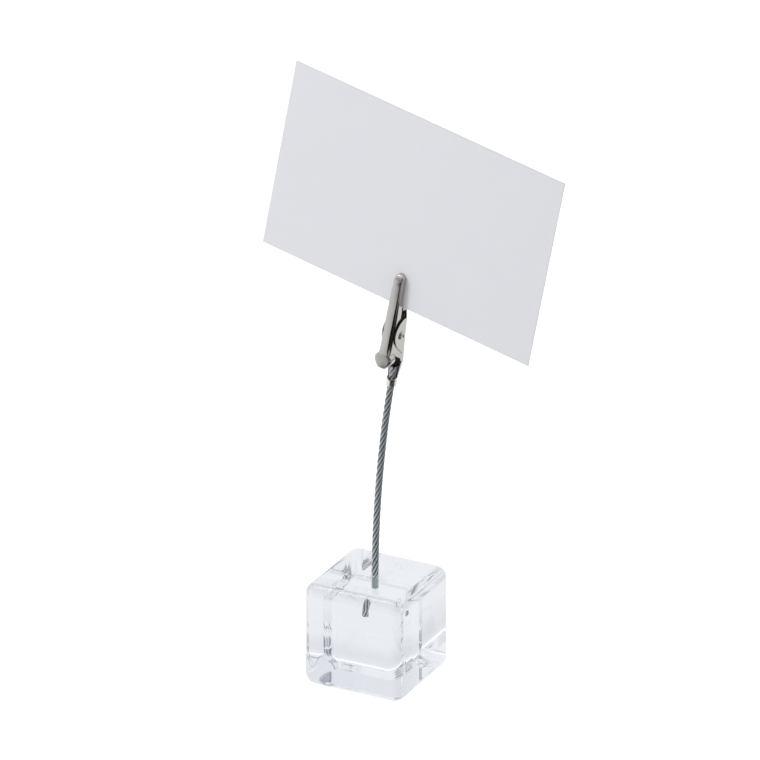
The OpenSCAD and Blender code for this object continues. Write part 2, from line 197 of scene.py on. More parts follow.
for ramp, stops in ((metal_tone.color_ramp, metal_stops), (shade.color_ramp, shade_stops)):
    for stop, _ in stops[1:-1]:
        ramp.elements.new(stop)
    for element, (_, level) in zip(ramp.elements, stops):
        element.color = (level, level, level, 1)
diffuse = add_node(tree, "BsdfDiffuse", {"Color": linear("#f4f5f6")})
glow = add_node(tree, "Emission", {"Color": plain_white, "Strength": table_glow})
lit = add_node(tree, "AddShader", {0: diffuse.outputs[0], 1: glow.outputs[0]})
tree.links.new(by_ray(tree, diffuse, in_metal, in_glass, lit), table_out.inputs["Surface"])

corners = np.array([[-1, -1], [1, -1], [1, 1], [-1, 1]]) * table_half
table_points = np.column_stack([corners, np.full(4, -table_drop)])
table = mesh_object("table", table_points, [(0, 1, 2, 3)], [table_white])

# For metal the room is dim on the photographer's side. For glass it is faint and cooler to the
# front right, and brighter near the horizon.
room = bpy.data.worlds.new("room")
bpy.context.scene.world = room
room.use_nodes = True
tree = room.node_tree
tree.nodes.clear()
direction = add_node(tree, "TexCoord").outputs["Generated"]
near_side = add_node(tree, "VectorMath", {0: direction, 1: photographer_way}, operation="DOT_PRODUCT")
dim = add_node(tree, "MapRange", {"Value": near_side.outputs["Value"], "From Min": 0.2, "From Max": 0.7,
                                  "To Min": 1.0, "To Max": 0.15})
in_metal = add_node(tree, "Background", {"Color": plain_white, "Strength": dim.outputs["Result"]})
front_right = add_node(tree, "VectorMath", {0: direction, 1: front_right_way}, operation="DOT_PRODUCT")
faint = add_node(tree, "MapRange", {"Value": front_right.outputs["Value"], "From Min": 0.6, "From Max": 0.98,
                                    "To Min": 0.93, "To Max": 0.2})
direction_parts = add_node(tree, "SeparateXYZ", {0: direction})
front_side = add_node(tree, "MapRange", {"Value": direction_parts.outputs["Y"], "From Min": 0.5,
                                         "From Max": -0.5, "To Min": 0.97, "To Max": 1.06})
off_level = add_node(tree, "Math", {0: direction_parts.outputs["Z"]}, operation="ABSOLUTE")
horizon = add_node(tree, "MapRange", {"Value": off_level.outputs[0], "From Min": 0.0, "From Max": 0.22,
                                      "To Min": 1.5, "To Max": 1.0}, interpolation_type="SMOOTHSTEP")
seen_back = add_node(tree, "Math", {0: front_side.outputs["Result"], 1: horizon.outputs["Result"]},
                     operation="MULTIPLY")
seen = add_node(tree, "Math", {0: seen_back.outputs[0], 1: faint.outputs["Result"]}, operation="MULTIPLY")
cool = add_node(tree, "Mix", {0: seen.outputs[0], 6: linear("#c6d5ea"), 7: plain_white}, data_type="RGBA")
in_glass = add_node(tree, "Background", {"Color": cool.outputs[2], "Strength": seen.outputs[0]})
ambient = add_node(tree, "Background", {"Color": linear("#fbfcff"), "Strength": room_glow})
plain = add_node(tree, "Background", {"Color": plain_white, "Strength": 1.0})
room_out = add_node(tree, "OutputWorld")
tree.links.new(by_ray(tree, ambient, in_metal, in_glass, plain), room_out.inputs["Surface"])

holder_middle = Vector((0, 0, 90 * mm))


def softbox(name, place, size, power):
    """A square area lamp that looks at the middle of the holder, its place and size in metres."""
    lamp = bpy.data.lights.new(name, "AREA")
    lamp.shape = "SQUARE"
    lamp.size = size
    lamp.energy = power
    box = bpy.data.objects.new(name, lamp)
    bpy.context.scene.collection.objects.link(box)
    box.location = place
    box.rotation_euler = (Vector(place) - holder_middle).to_track_quat("Z", "Y").to_euler()
    box.visible_transmission = False
    return box


key_softbox = softbox("key_softbox", place=(-0.75, -0.9, 0.75), size=0.5, power=6.3)
key_softbox.visible_glossy = False
softbox("top_softbox", place=(-0.42, -0.13, 1.0), size=0.26, power=0.5)

# Clear block
# A cube of clear acrylic, 30 mm a side, with every edge rounded and polished. The bore for the
# rope is filled with clear adhesive of nearly the same index, so only the rope shows in it.
block_low, block_high = (np.array(corner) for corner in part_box("base_block"))
block_side = block_high[2] - block_low[2]
block_edge_r = 3.5 * mm
bore_x = 0.3 * mm
bore_y = -1.2 * mm


def rounded_cube(side, edge_r, flat_steps=2, arc_steps=36, merge_share=1e-6):
    """A cube with rounded edges, standing on the origin, and its exact normals.

    Each of the six sides is a grid: along each way the place runs over a flat stretch, and at both
    ends over 45 degrees of rounding. A point is the nearest point of the inner box plus edge_r
    times the direction (tan a, tan b, 1), made one unit long.
    """
    reach = side / 2 - edge_r
    arc = np.radians(np.linspace(0, 45, arc_steps + 1))
    angle = np.concatenate([-arc[::-1], np.zeros(flat_steps - 1), arc])
    core = np.concatenate([
        np.full(arc_steps + 1, -reach),
        np.linspace(-reach, reach, flat_steps + 1)[1:-1],
        np.full(arc_steps + 1, reach),
    ])
    a, b = np.meshgrid(angle, angle, indexing="ij")
    u, v = np.meshgrid(core, core, indexing="ij")
    direction = np.stack([np.tan(a), np.tan(b), np.ones_like(a)], axis=-1)
    direction /= np.linalg.norm(direction, axis=-1, keepdims=True)
    points = np.stack([u, v, np.full_like(u, reach)], axis=-1) + edge_r * direction
    n = len(core)
    cell = np.arange(n * n).reshape(n, n)
    quads = np.stack([cell[:-1, :-1], cell[1:, :-1], cell[1:, 1:], cell[:-1, 1:]], axis=-1).reshape(-1, 4)
    turns = [
        np.eye(3),
        np.array([[1, 0, 0], [0, -1, 0], [0, 0, -1]]),
        np.array([[0, 0, 1], [1, 0, 0], [0, 1, 0]]),
        np.array([[0, 0, -1], [-1, 0, 0], [0, 1, 0]]),
        np.array([[0, 1, 0], [0, 0, 1], [1, 0, 0]]),
        np.array([[0, -1, 0], [0, 0, -1], [1, 0, 0]]),
    ]
    all_points = np.concatenate([points.reshape(-1, 3) @ turn.T for turn in turns])
    all_normals = np.concatenate([direction.reshape(-1, 3) @ turn.T for turn in turns])
    all_quads = np.concatenate([quads + i * n * n for i in range(len(turns))])
    keys = np.round(all_points / (side * merge_share)).astype(np.int64)
    _, first, merged = np.unique(keys, axis=0, return_index=True, return_inverse=True)
    return all_points[first] + [0, 0, side / 2], all_normals[first], merged.reshape(-1)[all_quads]


points, normals, quads = rounded_cube(block_side, block_edge_r)
acrylic, acrylic_out = new_material("clear_cast_acrylic")
tree = acrylic.node_tree
shader = add_node(tree, "BsdfPrincipled", {
    "Base Color": linear("#eef1f6"),
    "Roughness": 0.0,
    "IOR": 1.49,
    "Transmission Weight": 1.0,
})
tree.links.new(shader.outputs[0], acrylic_out.inputs["Surface"])
block = mesh_object("clear_block", points, quads, [acrylic])
block.data.normals_split_custom_set_from_vertices(normals.tolist())
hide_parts("base_block", "bore_adhesive")
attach(block, "stand")

# The adhesive rises up the rope in a thin fillet, which catches the light. It stands a hair
# above the block, so that their faces don't coincide.
fillet_inner_r = 0.98 * mm
fillet_reach = 0.35 * mm
fillet_lift = 0.01 * mm
fillet_rim_h = 0.02 * mm
fillet_steps = 8
fillet_sides = 64
turn = np.linspace(0, np.pi / 2, fillet_steps + 1)
profile = np.concatenate([
    [[fillet_inner_r, fillet_lift], [fillet_inner_r + fillet_reach, fillet_lift]],
    np.stack([fillet_inner_r + fillet_reach * (1 - np.sin(turn)),
              fillet_reach * (1 - np.cos(turn)) + fillet_lift + fillet_rim_h], axis=-1),
])
around = np.arange(fillet_sides) * 2 * np.pi / fillet_sides
rings = np.stack([
    profile[:, :1] * np.cos(around) + bore_x,
    profile[:, :1] * np.sin(around) + bore_y,
    profile[:, 1:] + block_high[2] + 0 * around,
], axis=-1)
cell = np.arange(rings.shape[0] * fillet_sides).reshape(-1, fillet_sides)
below = np.roll(cell, -1, axis=0)
quads = np.stack([cell, np.roll(cell, -1, axis=1), np.roll(below, -1, axis=1), below], axis=-1)
fillet = mesh_object("adhesive_fillet", rings, quads.reshape(-1, 4), [acrylic])
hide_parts("bore_adhesive")
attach(fillet, "stand")

# Wire rope
# Seven strands of seven drawn stainless wires, laid right-handed with the wires of each strand
# laid the other way. It is set in the block, springs up in one even curve and ends a few
# millimetres above the clip's crimp, where the cut strands stand a little apart.
rope_d = 2.0 * mm
# Nine wires lie side by side across the rope
wire_r = rope_d / 18
wire_ring_r = 2 * wire_r
strand_ring_r = 6 * wire_r
lay_count = 7
middle_one = lay_count - 1
sixth_turn = np.pi / 3
rope_lay = 12.3 * mm
strand_lay = 5.2 * mm
curve_r = 370 * mm
straight_foot = 7.7 * mm
rope_foot = np.array([bore_x, bore_y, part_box("rope_stem")[0][2]])
joints = {joint["name"]: joint for joint in frame["joints"]}
clip_up = np.array(joints["card_slide"]["axis"])
stem_lean = math.atan2(clip_up[0], clip_up[2])
crimp_len = 2.6 * mm
tip_len = 3.2 * mm
stem_len = straight_foot + curve_r * stem_lean
rope_len = stem_len + crimp_len + tip_len
fray_reach = 0.35 * mm
fray_bend = 1.5
stem_steps = 199
tip_steps = 15
wire_sides = 8


def rope_middle(s):
    """Middle line of the rope at length s: straight, then an even curve in the XZ plane.

    Gives the place, the direction along the rope and the direction of the curve's outside.
    """
    lean = np.clip((s - straight_foot) / curve_r, 0, None)
    place = rope_foot + np.stack([
        curve_r * (1 - np.cos(lean)),
        np.zeros_like(s),
        np.minimum(s, straight_foot) + curve_r * np.sin(lean),
    ], axis=-1)
    along = np.stack([np.sin(lean), np.zeros_like(s), np.cos(lean)], axis=-1)
    outside = np.stack([np.cos(lean), np.zeros_like(s), -np.sin(lean)], axis=-1)
    return place, along, outside


def tube(path, radius, side, sides):
    """Closed tube along a path: rings of points at that radius, with side as the rings' first direction."""
    along = unit(np.gradient(path, axis=0))
    first = unit(side - (side * along).sum(axis=-1, keepdims=True) * along)
    second = np.cross(along, first)
    turn = np.arange(sides) * 2 * np.pi / sides
    rings = path[:, None] + radius * (
        np.cos(turn)[None, :, None] * first[:, None] + np.sin(turn)[None, :, None] * second[:, None]
    )
    return rings.reshape(-1, 3), capped_faces(len(path), sides)


# Drawn wire with a fine grain in its tone. The gaps between the wires are darkened with painted shade,
# because the photograph shows them dark.
rope_steel, rope_out = new_material("drawn_stainless_wire")
tree = rope_steel.node_tree
wire_grain = 0.6 * mm
place = add_node(tree, "TexCoord").outputs["Object"]
grain = add_node(tree, "TexNoise", {"Vector": place, "Scale": 1 / wire_grain, "Detail": 3.0})
rough = add_node(tree, "MapRange", {"Value": grain.outputs["Fac"], "To Min": 0.34, "To Max": 0.5})
tone = add_node(tree, "ValToRGB", {"Fac": grain.outputs["Fac"]})
tone.color_ramp.elements[0].color = linear("#cad4db")
tone.color_ramp.elements[1].color = linear("#e8eef2")
# Painted shade: a near-black colour fills the gaps between the wires, away from their crests
depth = add_node(tree, "Attribute", attribute_name="from_core")
crest = add_node(tree, "MapRange", {"Value": depth.outputs["Fac"], "From Min": 0.72, "From Max": 0.94},
                 interpolation_type="SMOOTHSTEP")
shaded = add_node(tree, "Mix", {0: crest.outputs["Result"], 6: linear("#1d2022"), 7: tone.outputs["Color"]},
                  data_type="RGBA")
shader = add_node(tree, "BsdfPrincipled", {
    "Base Color": shaded.outputs[2],
    "Metallic": 1.0,
    "Roughness": rough.outputs["Result"],
})
tree.links.new(shader.outputs[0], rope_out.inputs["Surface"])

s = np.concatenate([
    np.linspace(0, stem_len + crimp_len, stem_steps + 1),
    np.linspace(stem_len + crimp_len, rope_len, tip_steps + 1)[1:],
])
middle, along, outside = rope_middle(s)
front_way = np.tile([0.0, 1.0, 0.0], (len(s), 1))
fray = np.clip((s - stem_len - crimp_len) / tip_len, 0, 1)[:, None]
for strand in range(lay_count):
    turned = 2 * np.pi * s / rope_lay + strand * sixth_turn
    radial = np.cos(turned)[:, None] * outside + np.sin(turned)[:, None] * front_way
    ring_r = 0 if strand == middle_one else strand_ring_r
    strand_middle = middle + (ring_r + (ring_r > 0) * fray_reach * fray ** fray_bend) * radial
    strand_along = unit(np.gradient(strand_middle, axis=0))
    first = unit(radial - (radial * strand_along).sum(axis=-1, keepdims=True) * strand_along)
    second = np.cross(strand_along, first)
    strand_points = []
    strand_faces = []
    strand_depth = []
    for wire in range(lay_count):
        laid = -2 * np.pi * s / strand_lay + wire * sixth_turn
        wire_side = np.cos(laid)[:, None] * first + np.sin(laid)[:, None] * second
        path = strand_middle + (0 if wire == middle_one else wire_ring_r) * wire_side
        rings, faces = tube(path, wire_r, wire_side, wire_sides)
        offset = sum(len(group) for group in strand_points)
        strand_points.append(rings)
        from_core = np.linalg.norm(rings.reshape(len(s), -1, 3) - middle[:, None], axis=-1) / (rope_d / 2)
        strand_depth.append(from_core.ravel())
        strand_faces += [[i + offset for i in face] for face in faces]
    all_rings = np.concatenate(strand_points)
    piece = mesh_object(f"rope_strand_{strand + 1}", all_rings, strand_faces, [rope_steel])
    depth_of_point = piece.data.attributes.new("from_core", "FLOAT", "POINT")
    depth_of_point.data.foreach_set("value", np.concatenate(strand_depth))
    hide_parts("rope_stem")
    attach(piece, "stand")

# Jaws
# Two stampings of thin steel sheet, bent into channels and nickel plated. The rear one wraps the
# rope's end in a crimp and carries the pivot ears; the front one has the thumb lever and two inner ears.
clip_pivot = np.array(joints["jaw_hinge"]["pos_m"])
clip_across = np.array(joints["jaw_hinge"]["axis"])
clip_back = np.cross(clip_up, clip_across)


def in_clip(points):
    """Points of the clip's own frame, across, back and up from the pivot, put in place."""
    return clip_pivot + points @ np.stack([clip_across, clip_back, clip_up])


sheet_t = 0.4 * mm
sheet_play = 0.05 * mm
crimp_play = 0.02 * mm
nose_len = 18.4 * mm
tail_len = 16.7 * mm
lever_len = 8.8 * mm
ear_w = 4.4 * mm
nose_w = 2.9 * mm
lever_w = 5.3 * mm
bite_offset = 0.9 * mm
# Half the card and its play
half_card = 0.17 * mm
crimp_offset = 2.5 * mm
crimp_r = rope_d / 2 + crimp_play + sheet_t
crimp_top = -tail_len + crimp_len
web_back = crimp_offset + crimp_r
ear_half = ear_w / 2
nose_half = nose_w / 2
inner_half = ear_half - sheet_t - sheet_play
nose_round = 1.3 * nose_half
web_at_pivot = 0.55 * ear_w
crown = 0.02 * mm
least_corner = 0.05 * mm
fullest_corner_share = 0.96
outer_squareness = 2.44
inner_squareness = 2.66
rolled_edge = 0.06 * mm
sharp_angle = math.radians(50)
nose_stop_deg = 87
nose_rings = 14
wall_steps = 11
bend_steps = 10
web_steps = 12
least_step = 0.004 * mm


def along_rows(rows, z, column):
    """One column of a row table at heights z, on a smooth curve that turns only at rows."""
    at = rows[:, 0]
    value = rows[:, column]
    low = np.maximum(np.arange(len(at)) - 1, 0)
    high = np.minimum(np.arange(len(at)) + 1, len(at) - 1)
    slope = (value[high] - value[low]) / (at[high] - at[low])
    inner = slice(1, -1)
    turns = (value - value[low])[inner] * (value[high] - value)[inner] <= 0
    slope[inner] = np.where(turns, 0, slope[inner])
    i = np.clip(np.searchsorted(at, z, side="right") - 1, 0, len(at) - 2)
    span = at[i + 1] - at[i]
    t = np.clip((z - at[i]) / span, 0, 1)
    return (
        value[i] * (1 + 2 * t) * (1 - t) ** 2 + value[i + 1] * t ** 2 * (3 - 2 * t)
        + slope[i] * span * t * (1 - t) ** 2 - slope[i + 1] * span * t ** 2 * (1 - t)
    )


def channel_section(half_w, back, corner, edge):
    """Section of a channel: up one wall, round a corner, over the web and down the other wall.

    Every input is an array over the heights; the result has one row of (across, back) points a height.
    """
    wall = np.linspace(0, 1, wall_steps + 1)[:-1]
    bend = np.linspace(0, np.pi / 2, bend_steps + 1)
    web = np.linspace(-1, 1, web_steps + 1)[1:-1]
    half_w, back, corner, edge = (a[:, None] for a in (half_w, back, corner, edge))
    corner = np.minimum(corner, np.minimum(half_w, back - edge) * fullest_corner_share)
    wall_y = edge + (back - corner - edge) * wall
    left = np.stack([np.broadcast_to(-half_w, wall_y.shape), wall_y], axis=-1)
    left_bend = np.stack([-half_w + corner * (1 - np.cos(bend)), back - corner * (1 - np.sin(bend))], axis=-1)
    over = np.stack([(half_w - corner) * web, back + crown * (1 - web ** 2) + 0 * half_w], axis=-1)
    right_bend = (left_bend * [-1, 1])[:, ::-1]
    right = (left * [-1, 1])[:, ::-1]
    return np.concatenate([left, left_bend, over, right_bend, right], axis=1)


def wrapped_section(count, left_end, right_end, half_w, squareness):
    """Section of the crimp: a ring round the rope between two ends, a superellipse of that half width.

    The ends are how far to the right of the middle each lobe reaches across the front, height by height.
    """
    start = -np.pi - np.arcsin(np.clip(left_end / crimp_r, -1, 1))
    stop = np.pi - np.arcsin(np.clip(right_end / crimp_r, -1, 1))
    turn = start[:, None] + (stop - start)[:, None] * np.linspace(0, 1, count)
    ring = np.stack([np.sin(turn), np.cos(turn)], axis=-1)
    reach = half_w / (np.abs(ring) ** squareness).sum(axis=-1, keepdims=True) ** (1 / squareness)
    return ring * reach + [0, crimp_offset]


def edge_line(points, z):
    """Height by height, how far back a wall's edge lies, on straight stretches between points."""
    points = np.array(points)
    return np.interp(z, points[:, 1], points[:, 0])


def ring_heights(*stretches):
    """The heights of several stretches in one rising row, without those that nearly coincide."""
    z = np.unique(np.concatenate(stretches))
    return z[np.concatenate([[True], np.diff(z) > least_step])]


def jaw_shell(name, rows, side, z, edge, bite, wrap=None):
    """A channel of sheet with a domed nose, as one closed shell.

    z are the heights of the body's rings, edge the place of the walls' edges there. The nose adds
    rings that shrink towards the bite plane. Each ring is the outer section, then the inner one back.
    """
    half_w, back, corner = (along_rows(rows, z, column) for column in (1, 2, 3))
    outer = channel_section(half_w, back, corner, edge)
    inner_corner = np.maximum(corner - sheet_t, least_corner)
    inner = channel_section(half_w - sheet_t, back - sheet_t, inner_corner, edge)
    if wrap is not None:
        left_end, right_end, folded = wrap
        share = folded[:, None, None]
        outer_ring = wrapped_section(outer.shape[1], left_end, right_end, crimp_r, outer_squareness)
        inner_ring = wrapped_section(inner.shape[1], left_end, right_end, crimp_r - sheet_t, inner_squareness)
        outer = outer * (1 - share) + share * outer_ring
        inner = inner * (1 - share) + share * inner_ring
    turn = np.radians(np.linspace(0, nose_stop_deg, nose_rings + 1)[1:])
    shrink = np.cos(turn)[:, None, None]
    base = np.array([0, bite])
    outer_nose = base + (outer[-1] - base) * shrink
    inner_nose = base + (inner[-1] - base) * shrink
    outer_z = np.concatenate([z, z[-1] + nose_round * np.sin(turn)])
    inner_z = np.concatenate([z, z[-1] + (nose_round - sheet_t) * np.sin(turn)])
    outer = np.concatenate([outer, outer_nose])
    inner = np.concatenate([inner, inner_nose])
    count = outer.shape[1]
    outer_points = np.dstack([outer[..., 0], side * outer[..., 1], np.repeat(outer_z[:, None], count, 1)])
    inner_points = np.dstack([inner[..., 0], side * inner[..., 1], np.repeat(inner_z[:, None], count, 1)])
    rings = np.concatenate([outer_points, inner_points[:, ::-1]], axis=1)
    n, m = rings.shape[:2]
    cell, quads = ring_faces(n, m)
    i = np.arange(count - 1)
    start_cap = np.stack([cell[0, i], cell[0, m - 1 - i], cell[0, m - 2 - i], cell[0, i + 1]], axis=-1)
    end_cap = np.stack([cell[-1, i], cell[-1, i + 1], cell[-1, m - 2 - i], cell[-1, m - 1 - i]], axis=-1)
    faces = np.concatenate([quads, start_cap, end_cap])
    if side > 0:
        faces = faces[:, ::-1]
    piece = mesh_object(name, in_clip(rings.reshape(-1, 3)), faces, [nickel])
    soften = piece.modifiers.new("rolled_edges", "BEVEL")
    soften.width = rolled_edge
    soften.segments = 2
    soften.limit_method = "ANGLE"
    soften.angle_limit = sharp_angle
    return piece


# Bright plate over rolled sheet, with the sheet's shallow waves and a faint haze
nickel, nickel_out = new_material("bright_nickel_plate")
tree = nickel.node_tree
wave_size = 2.5 * mm
wave_depth = 0.02 * mm
haze_size = 0.5 * mm
place = add_node(tree, "TexCoord").outputs["Object"]
waves = add_node(tree, "TexNoise", {"Vector": place, "Scale": 1 / wave_size, "Detail": 2.0})
ripple = add_node(tree, "Bump", {"Strength": 0.25, "Distance": wave_depth, "Height": waves.outputs["Fac"]})
haze = add_node(tree, "TexNoise", {"Vector": place, "Scale": 1 / haze_size, "Detail": 4.0})
rough = add_node(tree, "MapRange", {"Value": haze.outputs["Fac"], "To Min": 0.1, "To Max": 0.2})
shader = add_node(tree, "BsdfPrincipled", {
    "Base Color": linear("#c0beba"),
    "Metallic": 1.0,
    "Roughness": rough.outputs["Result"],
    "Normal": ripple.outputs["Normal"],
})
tree.links.new(shader.outputs[0], nickel_out.inputs["Surface"])

# The crimp's barrel looks paler and hazy in the photograph, with faint marks across it. The plate is painted
# paler than the rest, as a painted highlight; the haze and the marks are roughness and bumps.
pressed, pressed_out = new_material("nickel_plate_with_tool_marks_and_painted_highlight")
tree = pressed.node_tree
mark_size = 0.7 * mm
mark_depth = 0.04 * mm
place = add_node(tree, "TexCoord").outputs["Object"]
marks = add_node(tree, "TexNoise", {"Vector": place, "Scale": 1 / mark_size, "Detail": 3.0})
dents = add_node(tree, "Bump", {"Strength": 0.8, "Distance": mark_depth, "Height": marks.outputs["Fac"]})
rough = add_node(tree, "MapRange", {"Value": marks.outputs["Fac"], "To Min": 0.2, "To Max": 0.4})
shader = add_node(tree, "BsdfPrincipled", {
    "Base Color": linear("#efeeea"),
    "Metallic": 1.0,
    "Roughness": rough.outputs["Result"],
    "Normal": dents.outputs["Normal"],
})
tree.links.new(shader.outputs[0], pressed_out.inputs["Surface"])

# The photograph shows the channel round the rope's end and the rim of the right ear almost black. This plate
# is painted as dark as it looks: painted shade in the channel, and a painted dark reflection on the rim.
# What makes them so isn't known, so this plate is only painted as dark as it looks.
painted_shade_and_reflection, dark_out = new_material("nickel_plate_with_painted_shade_and_reflection")
tree = painted_shade_and_reflection.node_tree
blotch_size = 0.8 * mm
place = add_node(tree, "TexCoord").outputs["Object"]
blotch = add_node(tree, "TexNoise", {"Vector": place, "Scale": 1 / blotch_size, "Detail": 4.0})
tone = add_node(tree, "ValToRGB", {"Fac": blotch.outputs["Fac"]})
tone.color_ramp.elements[0].color = linear("#1d1c1b")
tone.color_ramp.elements[1].color = linear("#3a3735")
shader = add_node(tree, "BsdfPrincipled", {
    "Base Color": tone.outputs["Color"],
    "Metallic": 0.6,
    "Roughness": 0.55,
})
tree.links.new(shader.outputs[0], dark_out.inputs["Surface"])

# Rear jaw with crimp and ears: height, half width, back of the web, corner radius. The corners at
# 0.2 and 0.28 of nose_len are smaller than the solid's, which would show as a crease here.
lower_rows = np.array([
    [crimp_top, crimp_r, web_back, 0.85 * crimp_r],
    [-0.684 * tail_len, 0.76 * ear_half, web_back, 0.35 * ear_half],
    [-0.518 * tail_len, 0.93 * ear_half, 0.95 * web_back, 0.3 * ear_half],
    [-0.29 * tail_len, ear_half, 0.77 * web_back, 0.3 * ear_half],
    [0, ear_half, web_at_pivot, 0.3 * ear_half],
    [0.2 * nose_len, ear_half, 0.80 * web_at_pivot, 0.27 * ear_half],
    [0.28 * nose_len, 0.985 * ear_half, 0.71 * web_at_pivot, 0.26 * ear_half],
    [0.42 * nose_len, 0.82 * ear_half, 0.52 * web_at_pivot, 0.35 * ear_half],
    [0.7 * nose_len, 1.05 * nose_half, 0.22 * web_at_pivot, 0.6 * nose_half],
    [nose_len - nose_round, nose_half, -bite_offset + half_card + 0.72 * nose_half, 0.7 * nose_half],
])
ear_r = 0.96 * ear_w
ear_y = 0.22 * ear_w
ear_z = 0.2 * ear_w
ear_top = ear_z + ear_r
step = 0.04 * mm
fold_len = 0.1 * mm
rim_reach = 0.5 * mm
z = ring_heights(
    np.linspace(-tail_len, crimp_top, 40),
    np.linspace(crimp_top, crimp_top + fold_len, 4),
    np.linspace(crimp_top + fold_len, nose_len - nose_round, 130),
    np.linspace(ear_top - rim_reach, ear_top + step, 16),
    np.linspace(0.41 * nose_len, 0.42 * nose_len, 6),
)
edge = edge_line([
    [crimp_offset, -tail_len],
    [crimp_offset, crimp_top],
    [0.95 * crimp_offset, -0.518 * tail_len],
    [0.7 * crimp_offset, -0.357 * tail_len],
    [-0.3 * ear_w, -0.186 * tail_len],
    [-0.6 * ear_w, -0.07 * tail_len],
    [-0.6 * ear_w, 0],
    [0.45 * web_at_pivot, 0.27 * nose_len],
    [0.45 * web_at_pivot, 0.412 * nose_len],
    [-bite_offset + half_card, 0.42 * nose_len],
], z)
ear_half_chord = np.sqrt(np.clip(ear_r ** 2 - (z - ear_z) ** 2, 0, None))
edge = np.where(np.abs(z - ear_z) < ear_r, np.minimum(edge, ear_y - ear_half_chord), edge)
seam_x = 0.6 * mm
half_slit = 0.175 * mm
left_drop = 0.4 * crimp_len
right_drop = 0.15 * crimp_len
recess_top = -8.6 * mm
folded = np.clip((crimp_top + fold_len - z) / fold_len, 0, 1)
left_end = np.interp(z, [crimp_top - left_drop, crimp_top], [seam_x - half_slit, -crimp_r])
right_end = np.interp(z, [crimp_top - right_drop, crimp_top], [seam_x + half_slit, crimp_r])
lower_jaw = jaw_shell("lower_jaw_sheet", lower_rows, 1, z, edge, -bite_offset + half_card,
                      (left_end, right_end, folded))
lower_jaw.data.materials.append(pressed)
lower_jaw.data.materials.append(painted_shade_and_reflection)

# Which faces take which plate: the barrel, the channel round the rope's end with painted shade, the right
# ear's rim with a painted dark reflection
recess_middle = crimp_offset - 1.2 * mm
on_rim = 0.03 * mm
sideways = 0.5
for face in lower_jaw.data.polygons:
    from_pivot = np.array(face.center) - clip_pivot
    up = from_pivot @ clip_up
    from_core = from_pivot - up * clip_up - recess_middle * clip_back
    if up < crimp_top:
        face.material_index = 1
    elif up < recess_top and from_core @ np.array(face.normal) < 0:
        face.material_index = 2
    elif from_pivot @ clip_across > 0 and abs(clip_across @ np.array(face.normal)) < sideways:
        from_ear = math.hypot(from_pivot @ clip_back - ear_y, up - ear_z)
        face.material_index = 2 * (abs(from_ear - ear_r) < on_rim)
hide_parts("lower_jaw")
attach(lower_jaw, "stand")

# Front jaw with the thumb lever, in the same columns, with its back to the front
upper_rows = np.array([
    [-lever_len, 0.24 * lever_w, 1.09 * ear_w, 0.27 * ear_half],
    [-0.88 * lever_len, 0.40 * lever_w, 1.055 * ear_w, 0.27 * ear_half],
    [-0.72 * lever_len, 0.50 * lever_w, 1.014 * ear_w, 0.27 * ear_half],
    [-0.63 * lever_len, 0.45 * lever_w, 0.991 * ear_w, 0.28 * ear_half],
    [-0.55 * lever_len, inner_half, 0.972 * ear_w, 0.30 * ear_half],
    [-0.36 * lever_len, inner_half, 0.945 * ear_w, 0.43 * ear_half],
    [0, inner_half, 0.91 * ear_w, 0.46 * ear_half],
    [0.3 * nose_len, 0.97 * inner_half, 0.85 * ear_w, 0.4 * ear_half],
    [0.6 * nose_len, 1.06 * nose_half, 0.775 * ear_w, 0.42 * nose_half],
    [0.82 * nose_len, nose_half, 0.69 * ear_w, 0.36 * nose_half],
    [nose_len - nose_round, 0.98 * nose_half, 0.65 * ear_w, 0.36 * nose_half],
])
rest_gap = 0.3 * mm
inner_ear_r = web_at_pivot - sheet_t - rest_gap
open_angle = math.radians(joints["jaw_hinge"]["range_deg"][1])
lever_wall_y = -0.5 * ear_w
lever_back_z = -0.5 * lever_len
web_inside = along_rows(lower_rows, np.array([lever_back_z]), 2)[0] - sheet_t
lever_back_y = (web_inside - rest_gap + lever_back_z * math.sin(open_angle)) / math.cos(open_angle)
inner_rim_reach = 0.4 * mm
z = ring_heights(
    np.linspace(-lever_len, nose_len - nose_round, 130),
    np.linspace(-inner_ear_r - step, -inner_ear_r + inner_rim_reach, 12),
    np.linspace(inner_ear_r - inner_rim_reach, inner_ear_r + step, 12),
)
edge = -edge_line([
    [1.15 * lever_wall_y, -lever_len],
    [lever_wall_y, -0.95 * lever_len],
    [lever_wall_y, -0.56 * lever_len],
    [lever_back_y, lever_back_z],
    [lever_back_y, -0.36 * lever_len],
    [0.4 * inner_ear_r, -0.2 * lever_len],
    [0.4 * inner_ear_r, 0.12 * nose_len],
    [-0.5 * (bite_offset + half_card), 0.19 * nose_len],
    [-(bite_offset + half_card), 0.26 * nose_len],
], z)
inner_half_chord = np.sqrt(np.clip(inner_ear_r ** 2 - z ** 2, 0, None))
edge = np.where(np.abs(z) < inner_ear_r, np.minimum(edge, -inner_half_chord), edge)
upper_jaw = jaw_shell("upper_jaw_sheet", upper_rows, -1, z, edge, bite_offset + half_card)
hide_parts("upper_jaw")
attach(upper_jaw, "lever_jaw")

# Rivet
# A plated steel rivet through both jaws' ears. The setting tool leaves a low dome with a dimple
# on each side.
rivet_head_r = 1.3 * mm
rivet_head_h = 0.45 * mm
rivet_shank_r = 0.75 * mm
dimple_r = 0.45 * mm
dimple_rim_w = 0.14 * mm
dimple_lip_w = 0.05 * mm
dimple_rim_drop = 0.02 * mm
dimple_lip_drop = 0.08 * mm
head_top = ear_half + rivet_head_h
dome_share = 0.35
head_sunk = 0.02 * mm
dome_steps = 8
rivet_sides = 48


def lathe(profile, sides):
    """Closed turned body: profile points are (radius, place along the axis) from one end to the other."""
    profile = np.array(profile)
    turn = np.arange(sides) * 2 * np.pi / sides
    rings = np.stack([
        np.repeat(profile[:, 1][:, None], sides, 1),
        profile[:, 0][:, None] * np.cos(turn),
        profile[:, 0][:, None] * np.sin(turn),
    ], axis=-1)
    return rings, capped_faces(len(profile), sides)


